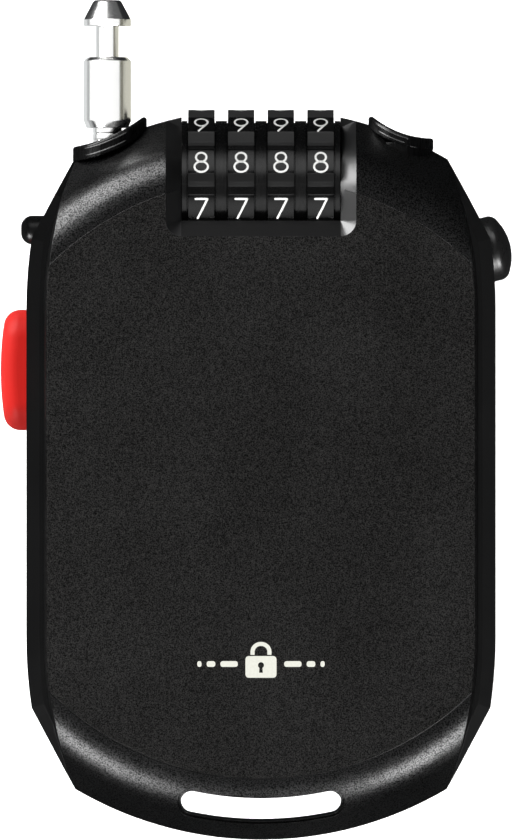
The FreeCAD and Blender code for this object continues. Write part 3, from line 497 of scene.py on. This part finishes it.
def ribbon(points, closed, width, place, verts, faces):
    """A flat ribbon with round ends, as a closed solid. place(u, v, level) maps it onto the ring."""
    h = width / 2
    pts = points
    if not closed:
        fine = [pts[0]]
        for p, q in zip(pts, pts[1:]):
            d = math.hypot(q[0] - p[0], q[1] - p[1])
            k = max(1, int(d / 0.2))
            fine += [(p[0] + (q[0] - p[0]) * j / k, p[1] + (q[1] - p[1]) * j / k) for j in range(1, k + 1)]
        pts = fine
    n = len(pts)
    left, right = [], []
    for i in range(n):
        if closed:
            a, b = pts[i - 1], pts[(i + 1) % n]
        else:
            a, b = pts[max(0, i - 1)], pts[min(n - 1, i + 1)]
        t = Vector((b[0] - a[0], b[1] - a[1])).normalized()
        nx, ny = -t.y, t.x
        left.append((pts[i][0] + nx * h, pts[i][1] + ny * h))
        right.append((pts[i][0] - nx * h, pts[i][1] - ny * h))

    def add(p, level):
        verts.append(place(p[0], p[1], level))
        return len(verts) - 1
    top_l, top_r = [add(p, 1) for p in left], [add(p, 1) for p in right]
    low_l, low_r = [add(p, 0) for p in left], [add(p, 0) for p in right]
    m = n if closed else n - 1
    for i in range(m):
        j = (i + 1) % n
        faces.append((top_l[i], top_r[i], top_r[j], top_l[j]))
        faces.append((low_l[i], low_l[j], low_r[j], low_r[i]))
        faces.append((top_l[i], top_l[j], low_l[j], low_l[i]))
        faces.append((top_r[i], low_r[i], low_r[j], top_r[j]))
    if not closed:
        for i, j, sign in ((0, 1, -1), (n - 1, n - 2, 1)):
            c = pts[i]
            a0 = math.atan2(left[i][1] - c[1], left[i][0] - c[0])
            steps = 8
            fan_t, fan_l = [], []
            for k in range(1, steps):
                a = a0 - sign * math.pi * k / steps
                p = (c[0] + h * math.cos(a), c[1] + h * math.sin(a))
                fan_t.append(add(p, 1))
                fan_l.append(add(p, 0))
            rim_t = [top_l[i]] + fan_t + [top_r[i]]
            rim_l = [low_l[i]] + fan_l + [low_r[i]]
            ct, cl = add(c, 1), add(c, 0)
            for k in range(len(rim_t) - 1):
                faces.append((ct, rim_t[k], rim_t[k + 1]))
                faces.append((cl, rim_l[k + 1], rim_l[k]))
                faces.append((rim_t[k], rim_l[k], rim_l[k + 1], rim_t[k + 1]))


def numbers(i, xc):
    verts, faces = [], []
    for digit, strokes in FIGURES.items():
        phi = math.radians(18 + 36 * (digit - 8))

        def place(u, v, level):
            r = DIAL_R + (0.008 if level else -0.03)
            a = phi + (v - 0.2) / DIAL_R
            return (xc + u, DIAL_Y + r * math.sin(a), MID + r * math.cos(a))
        for pts, closed in strokes:
            ribbon(pts, closed, 0.29, place, verts, faces)
    me = bpy.data.meshes.new(f"numbers_{i}")
    me.from_pydata([(x * MM, y * MM, z * MM) for x, y, z in verts], [], faces)
    bm = bmesh.new()
    bm.from_mesh(me)
    # open ribbons have a doubled centre at their ends: joined by the fan, so left as they are
    bmesh.ops.recalc_face_normals(bm, faces=bm.faces)
    bm.to_mesh(me)
    bm.free()
    me.materials.append(INK)
    o = bpy.data.objects.new(f"numbers_{i}", me)
    bpy.context.scene.collection.objects.link(o)
    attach(o, f"number_{i}")
    return o


# Thin dark strips that close the clearance between the comb cage and the window's sides: painted shade, standing in for
# the dark depth of that gap.
def strip(name, side):
    xa, xb = sorted((side * 10.953, side * 10.997))
    ya, yb, za, zb = 42.0, 48.9, MID - 1.6, MID + 1.6
    verts = [(x, y, z) for x in (xa, xb) for y in (ya, yb) for z in (za, zb)]
    faces = [(0, 1, 3, 2), (4, 6, 7, 5), (0, 4, 5, 1), (2, 3, 7, 6), (0, 2, 6, 4), (1, 5, 7, 3)]
    return piece(name, verts, faces, M["lip"], "case")


strip("cage_gap_shade_left", -1)
strip("cage_gap_shade_right", 1)

# Wall of the socket's bush, where the bore comes out through the rolled shoulder.
def bush_wall(name, xc, y0, y1, ri, ro, seg=96):
    prof = [(y0, ri), (y0, ro), (y1, ro), (y1, ri)]
    verts = [(xc + r * math.cos(2 * math.pi * k / seg), y, MID + r * math.sin(2 * math.pi * k / seg))
             for y, r in prof for k in range(seg)]
    faces = []
    for a in range(4):
        b = (a + 1) % 4
        for k in range(seg):
            k2 = (k + 1) % seg
            faces.append((a * seg + k, b * seg + k, b * seg + k2, a * seg + k2))
    return piece(name, verts, faces, M["lip"], "case", sharp=60.0)


bush_wall("socket_bush_wall", 19.4, 43.8, 46.0, 3.56, 4.42)

rings, inked = [], []
for i in range(1, 5):
    xc = centre(f"dial_{i}").x
    rings.append(ring(i, xc))
    inked.append(numbers(i, xc))

# ---------------------------------------------------------------------------
# plug
# ---------------------------------------------------------------------------
px = centre("plug").x
R = 3.3
plug_piece = lathe_y("plug_body", [
    (48.1, 0, 0), (48.1, 2.9, 0.08), (49.1, R, 0.15), (57.4, R, 0.03), (57.9, R - 0.5, 0.03), (57.9, 1.6, 0.08),
    (62.2, 1.6, 0.12), (62.2, R - 0.06, 0.10), (62.3, R, 0.06), (63.15, R, 0.06), (63.4, R - 0.14, 0.08),
    (65.62, 1.95, 0.14), (65.8, 1.7, 0.10), (65.8, 0, 0)], px, MID, M["chrome"], "plug_and_lead", seg=128)
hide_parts("plug")
crimp = [(42.6, 0, 0), (42.6, 1.7, 0.05), (42.9, 2.0, 0.1)]
for k in range(3):
    y = 45.4 + 0.9 * k
    crimp += [(y, 2.0, 0.05), (y + 0.08, 1.95, 0.03), (y + 0.2, 1.95, 0.03), (y + 0.28, 2.0, 0.05)]
crimp += [(48.1, 2.0, 0), (48.1, 0, 0)]
ferrule = lathe_y("plug_crimp", crimp, px, MID, M["chrome"], "plug_and_lead", seg=96)
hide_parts("plug_ferrule")


# ---------------------------------------------------------------------------
# thin beads round the two mouths' lips, in a lighter colour that paints their highlight lines
# ---------------------------------------------------------------------------
def bead(name, x0, r_lip, rim, drop, reach, thick=0.10):
    """A raised half-round line on the lip, a given drop below its hollow rim; its lighter colour is a painted
    highlight.
    """
    cx, cy, rr = rim
    n, m = 48, 6
    path = []
    for k in range(n + 1):
        x = x0 + reach[0] + (reach[1] - reach[0]) * k / n
        y = cy - math.sqrt((rr + drop) ** 2 - (x - cx) ** 2)
        z = MID + math.sqrt(max(0.0, r_lip ** 2 - (x - x0) ** 2))
        path.append(Vector((x, y, z)))
    verts, faces = [], []
    for k, p in enumerate(path):
        t = (path[min(n, k + 1)] - path[max(0, k - 1)]).normalized()
        out = Vector((p.x - x0, 0, p.z - MID)).normalized()
        side = t.cross(out).normalized()
        up = side.cross(t).normalized()
        taper = min(1.0, k / 4, (n - k) / 4)
        for j in range(m + 1):
            a = math.pi * j / m
            q = p + side * (math.cos(a) * thick * (0.15 + 0.85 * taper)) + up * (math.sin(a) * thick * taper - 0.02)
            verts.append(tuple(q))
        verts.append(tuple(p - up * 0.05))
    w = m + 2
    for k in range(n):
        for j in range(w):
            j2 = (j + 1) % w
            faces.append((k * w + j, k * w + j2, (k + 1) * w + j2, (k + 1) * w + j))
    faces.append(tuple(range(w - 1, -1, -1)))
    faces.append(tuple(n * w + j for j in range(w)))
    return piece(name, verts, faces, LIP_BEAD_PAINTED_HIGHLIGHT, "case", sharp=60.0)


RIM_L, RIM_R = (-28.79, 65.26, 20.0), (23.5, 58.85, 12.2)
bead("lip_bead_left_1", -20.95, 5.12, RIM_L, 0.55, (-3.6, 2.6))
bead("lip_bead_left_2", -20.95, 5.12, RIM_L, 1.50, (-3.4, 2.4))
bead("lip_bead_right_1", 19.4, 4.5, RIM_R, 0.50, (-3.6, 1.2))
bead("lip_bead_right_2", 19.4, 4.5, RIM_R, 1.15, (-3.3, 0.6))


# ---------------------------------------------------------------------------
# printed mark: a plain padlock between two bars
# ---------------------------------------------------------------------------
def outline_solid(name, loops, z0, z1, material, body):
    """Closed flat solid from outlines; loops inside others are holes."""
    cu = bpy.data.curves.new(name + "_c", "CURVE")
    cu.dimensions = "2D"
    cu.fill_mode = "BOTH"
    cu.extrude = (z1 - z0) / 2 * MM
    for loop in loops:
        s = cu.splines.new("POLY")
        s.points.add(len(loop) - 1)
        for p, (a, b) in zip(s.points, loop):
            p.co = (a * MM, b * MM, 0, 1)
        s.use_cyclic_u = True
    t = bpy.data.objects.new(name + "_t", cu)
    bpy.context.scene.collection.objects.link(t)
    t.location = (0, 0, (z0 + z1) / 2 * MM)
    bpy.context.view_layer.update()
    dg = bpy.context.evaluated_depsgraph_get()
    me = bpy.data.meshes.new_from_object(t.evaluated_get(dg))
    me.transform(t.matrix_world)
    bpy.data.objects.remove(t)
    bpy.data.curves.remove(cu)
    bm = bmesh.new()
    bm.from_mesh(me)
    bmesh.ops.remove_doubles(bm, verts=bm.verts, dist=1e-7)
    bmesh.ops.recalc_face_normals(bm, faces=bm.faces)
    bm.to_mesh(me)
    bm.free()
    me.name = name
    me.materials.clear()
    me.materials.append(material)
    o = bpy.data.objects.new(name, me)
    bpy.context.scene.collection.objects.link(o)
    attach(o, body)
    return o


def rect(x0, x1, y0, y1, r, n=6):
    return rounded([(x0, y0, r), (x1, y0, r), (x1, y1, r), (x0, y1, r)], n)


my = -25.5
front_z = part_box("front_panel")[1].z / MM
lock_loops = [rect(-2.15, 2.15, my - 2.45, my + 0.55, 0.55)]
key = arc(0, my - 0.72, 0.42, 0.42, -60, 240, 20) + [(-0.26, my - 1.75), (0.26, my - 1.75)]
lock_loops.append(key)
bow = arc(0, my + 1.15, 1.45, 1.35, 0, 180, 24)
bow_in = arc(0, my + 1.15, 0.88, 0.80, 180, 0, 20)
lock_loops.append([(1.45, my + 0.72)] + bow + [(-1.45, my + 0.72), (-0.88, my + 0.72)] + bow_in + [(0.88, my + 0.72)])
for s in (-1, 1):
    for a, b in ((3.2, 5.6), (6.3, 7.5), (8.2, 8.8)):
        x0, x1 = sorted((s * a, s * b))
        lock_loops.append(rect(x0, x1, my - 0.95, my - 0.15, 0.38))
mark = outline_solid("printed_padlock", lock_loops, front_z - 0.02, front_z + 0.006, PRINT, "case")

# ---------------------------------------------------------------------------
# stage, light and camera
# ---------------------------------------------------------------------------
fl = Mat("floor_pale")
tone = fl.mix(fl.noise(300.0, 2.0, 0.5), (0.90, 0.90, 0.90), (0.93, 0.93, 0.93))
floor_mat = fl.set(color=tone, rough=0.9, spec=0.1, emit_color=(1.0, 1.0, 1.0), emit=0.62)
me = bpy.data.meshes.new("floor")
me.from_pydata([(-4, -4, 0), (4, -4, 0), (4, 4, 0), (-4, 4, 0)], [], [(0, 1, 2, 3)])
me.materials.append(floor_mat)
floor = bpy.data.objects.new("floor", me)
floor.location = (0, 0, cad_box[0][2] - 0.00002)
bpy.context.scene.collection.objects.link(floor)
floor.visible_glossy = False

target = Vector((0, 0.004, 0.011))


def softbox(name, az, el, dist, w, h, radiance, only=None, aim=None, color=(1, 1, 1)):
    """A rectangular soft light at a compass angle about +Z (0 is +X) and a height angle."""
    a, e = math.radians(az), math.radians(el)
    d = Vector((math.cos(a) * math.cos(e), math.sin(a) * math.cos(e), math.sin(e)))
    li = bpy.data.lights.new(name, "AREA")
    li.shape = "RECTANGLE"
    li.size, li.size_y = w, h
    li.energy = radiance * math.pi * w * h
    li.color = color
    o = bpy.data.objects.new(name, li)
    t = aim or target
    o.location = t + d * dist
    o.rotation_euler = (-d).to_track_quat("-Z", "Y").to_euler()
    bpy.context.scene.collection.objects.link(o)
    if only:
        c = bpy.data.collections.new(name + "_lit")
        for k in only:
            c.objects.link(k)
        o.light_linking.receiver_collection = c
    return o


def spare(light, pieces):
    """The light leaves these pieces out."""
    c = bpy.data.collections.new(light.name + "_not")
    for k in pieces:
        c.objects.link(k)
    for k in c.collection_objects:
        k.light_linking.link_state = "EXCLUDE"
    light.light_linking.receiver_collection = c


def flat_light(name, x0, x1, y0, y1, z, radiance, only, color=(1, 1, 1), up=False):
    """A level panel of light over, or under, the pieces it is meant for."""
    li = bpy.data.lights.new(name, "AREA")
    li.shape = "RECTANGLE"
    li.size, li.size_y = x1 - x0, y1 - y0
    li.energy = radiance * math.pi * li.size * li.size_y
    li.color = color
    o = bpy.data.objects.new(name, li)
    o.location = ((x0 + x1) / 2, (y0 + y1) / 2, z)
    o.rotation_euler = (math.pi if up else 0.0, 0, 0)
    o.visible_camera = False
    bpy.context.scene.collection.objects.link(o)
    c = bpy.data.collections.new(name + "_lit")
    for k in only:
        c.objects.link(k)
    o.light_linking.receiver_collection = c
    return o


key_light = softbox("key_back", 136, 24, 0.60, 0.58, 0.38, 10.8)
dial_set = rings + inked + [nodes["dial_cage"]]
spare(key_light, dial_set + [mark, nodes["reset_button"], nodes["left_rail"], nodes["right_rail"]])
top_light = softbox("key_top", 90, 47, 0.60, 0.60, 0.36, 0.75)
spare(top_light, [nodes["front_shell"], nodes["left_rail"], nodes["right_rail"]])
for light in (softbox("low_left", 237, 31, 0.60, 0.24, 0.24, 15.5),
              softbox("low_right", 304, 31, 0.60, 0.24, 0.24, 17.0)):
    spare(light, dial_set)
softbox("overhead", 0, 89, 0.60, 0.44, 0.44, 0.10)
softbox("floor_fill", 0, 88, 1.6, 2.4, 2.4, 0.9, only=[floor])
softbox("ink_fill", 270, 59, 1.0, 0.8, 0.8, 9.0, only=inked + [mark])
softbox("dial_fill", 0, 89, 0.60, 0.44, 0.44, 1.55, only=rings + [nodes["dial_cage"]])
softbox("dial_front", 270, 56, 0.60, 0.5, 0.28, 1.2, only=rings + [nodes["dial_cage"]])
softbox("dial_back", 90, 54, 0.60, 0.5, 0.28, 0.8, only=rings + [nodes["dial_cage"]])
softbox("knob_low", 285, 30, 0.60, 0.50, 0.42, 4.0, only=[nodes["release_button"]])
softbox("knob_up", 75, 38, 0.60, 0.25, 0.20, 3.0, only=[nodes["release_button"]])
chrome_set = [plug_piece, ferrule]
pxm = px * MM
flat_light("plug_over_left", -1.7, pxm, -0.6, 0.9, 0.3, 1.05, chrome_set)
flat_light("plug_over_right", pxm, 0.54, -0.6, 0.30, 0.3, 1.05, chrome_set)
softbox("plug_left", 180, 3, 1.30, 0.6, 0.30, 1.05, only=chrome_set)
softbox("plug_back", 90, 8, 0.80, 2.4, 0.50, 0.09, only=chrome_set)
softbox("plug_right_mid", 0, 17, 0.60, 0.5, 0.22, 0.17, only=chrome_set, color=(1.0, 0.97, 0.75))
softbox("plug_right_low", 0, 2.5, 0.60, 0.5, 0.07, 0.58, only=chrome_set, color=(1.0, 0.98, 0.84))
flat_light("plug_under_near", pxm - 0.030, pxm, -0.5, 0.066, 0.0002, 0.76, chrome_set, color=(0.97, 0.99, 1.0), up=True)
flat_light("plug_under_far", -1.3, pxm - 0.030, -0.5, 0.075, 0.0002, 0.42, chrome_set, color=(0.97, 0.99, 1.0), up=True)
flat_light("plug_under_right", pxm, 0.60, -0.5, 0.066, 0.0002, 0.58, chrome_set, color=(1.0, 0.98, 0.84), up=True)

world = bpy.data.worlds.new("studio")
bpy.context.scene.world = world
world.use_nodes = True
bg = world.node_tree.nodes["Background"]
bg.inputs["Color"].default_value = (0.9, 0.95, 1.0, 1)
bg.inputs["Strength"].default_value = 0.02

cam_d = bpy.data.cameras.new("camera")
cam = bpy.data.objects.new("camera", cam_d)
bpy.context.scene.collection.objects.link(cam)
HEIGHT = 2.5
cam.location = (-0.00055, 0.00762, HEIGHT)
cam.rotation_euler = (0, 0, 0)
cam_d.sensor_fit = "VERTICAL"
cam_d.sensor_width = cam_d.sensor_height = 36.0
cam_d.lens = 36.0 * (HEIGHT - 0.011) / (840 * 0.0001386)
cam_d.clip_start = 0.05
cam_d.clip_end = 50
bpy.context.scene.camera = cam
vs = bpy.context.scene.view_settings
vs.view_transform = "Standard"
vs.look = "None"
vs.exposure = 0.0
vs.gamma = 1.0
